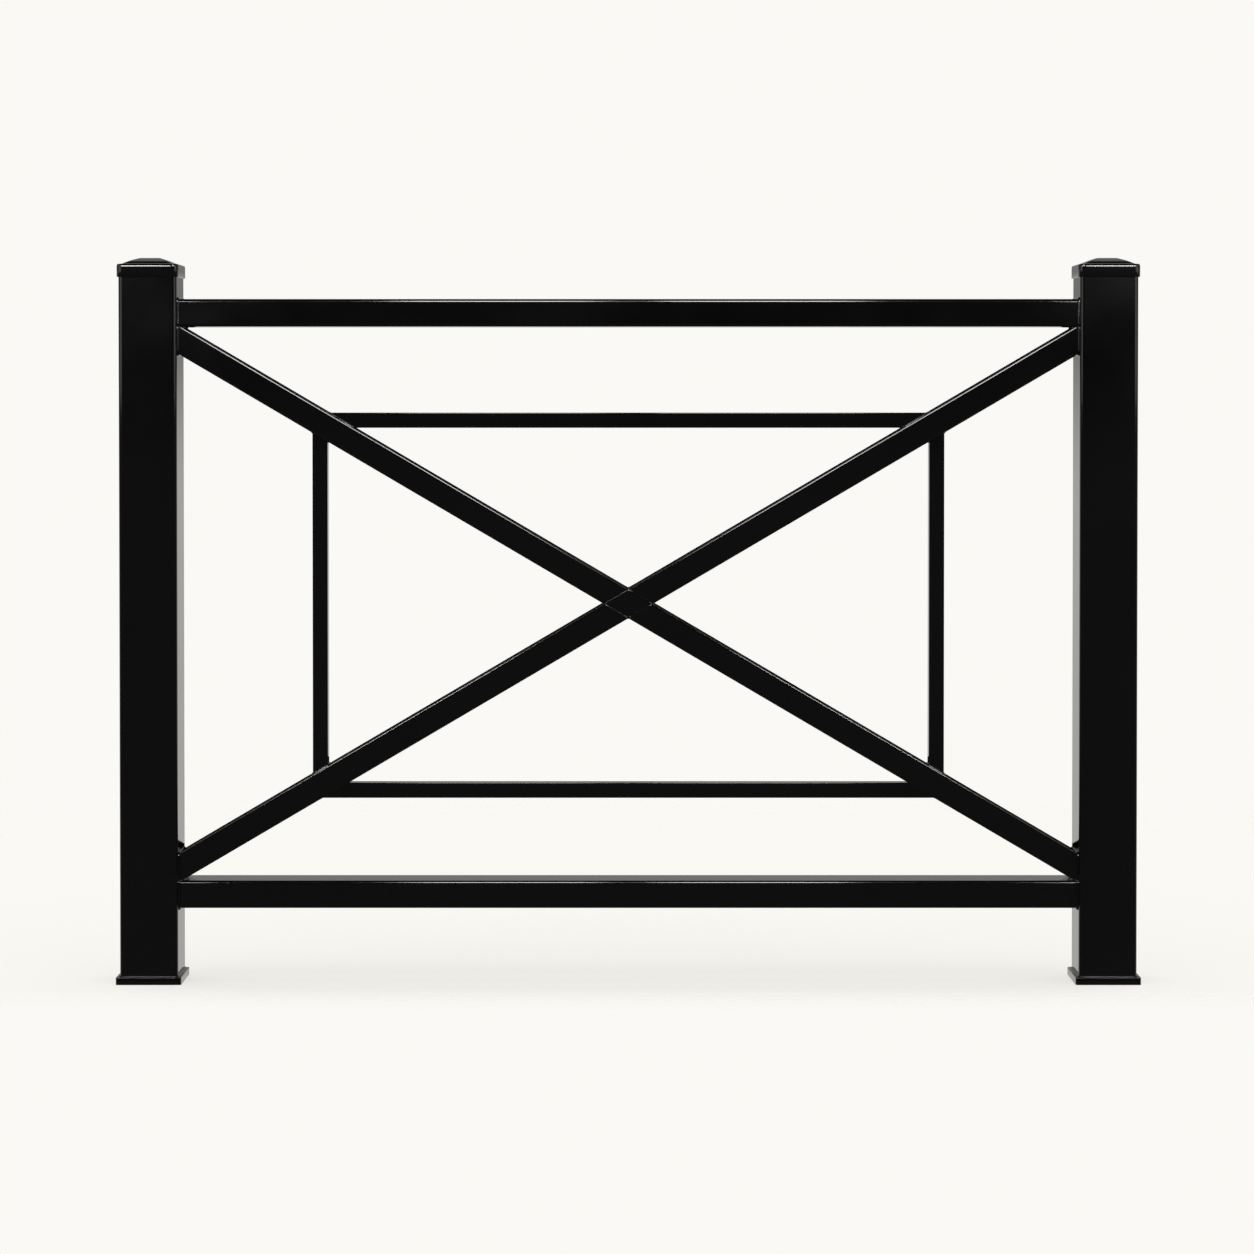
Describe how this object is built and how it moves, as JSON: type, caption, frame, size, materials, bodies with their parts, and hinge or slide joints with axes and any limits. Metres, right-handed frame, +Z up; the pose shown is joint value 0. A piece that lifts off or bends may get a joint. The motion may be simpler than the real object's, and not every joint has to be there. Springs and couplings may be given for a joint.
{
  "type": "street barrier",
  "caption": "Black painted steel street barrier: capped square posts on foot plates, joined by rails and a diagonal cross that holds a thin inner rectangle.",
  "frame": {"origin": "on the ground, midway between the posts and midway front to back", "axes": "+X along the barrier to the right seen from the front, +Y from front to back, +Z up"},
  "size_m": [1.41, 0.09, 1],
  "materials": {
    "black_paint": "gloss black powder coat"
  },
  "bodies": {
    "root": {"left_post": "black_paint", "right_post": "black_paint", "left_cap": "black_paint", "right_cap": "black_paint", "left_foot_plate": "black_paint", "right_foot_plate": "black_paint", "top_rail": "black_paint", "bottom_rail": "black_paint", "upper_left_arm": "black_paint", "upper_right_arm": "black_paint", "lower_left_arm": "black_paint", "lower_right_arm": "black_paint", "cross_block": "black_paint", "inner_top_bar": "black_paint", "inner_bottom_bar": "black_paint", "inner_left_bar": "black_paint", "inner_right_bar": "black_paint"}
  },
  "joints": []
}
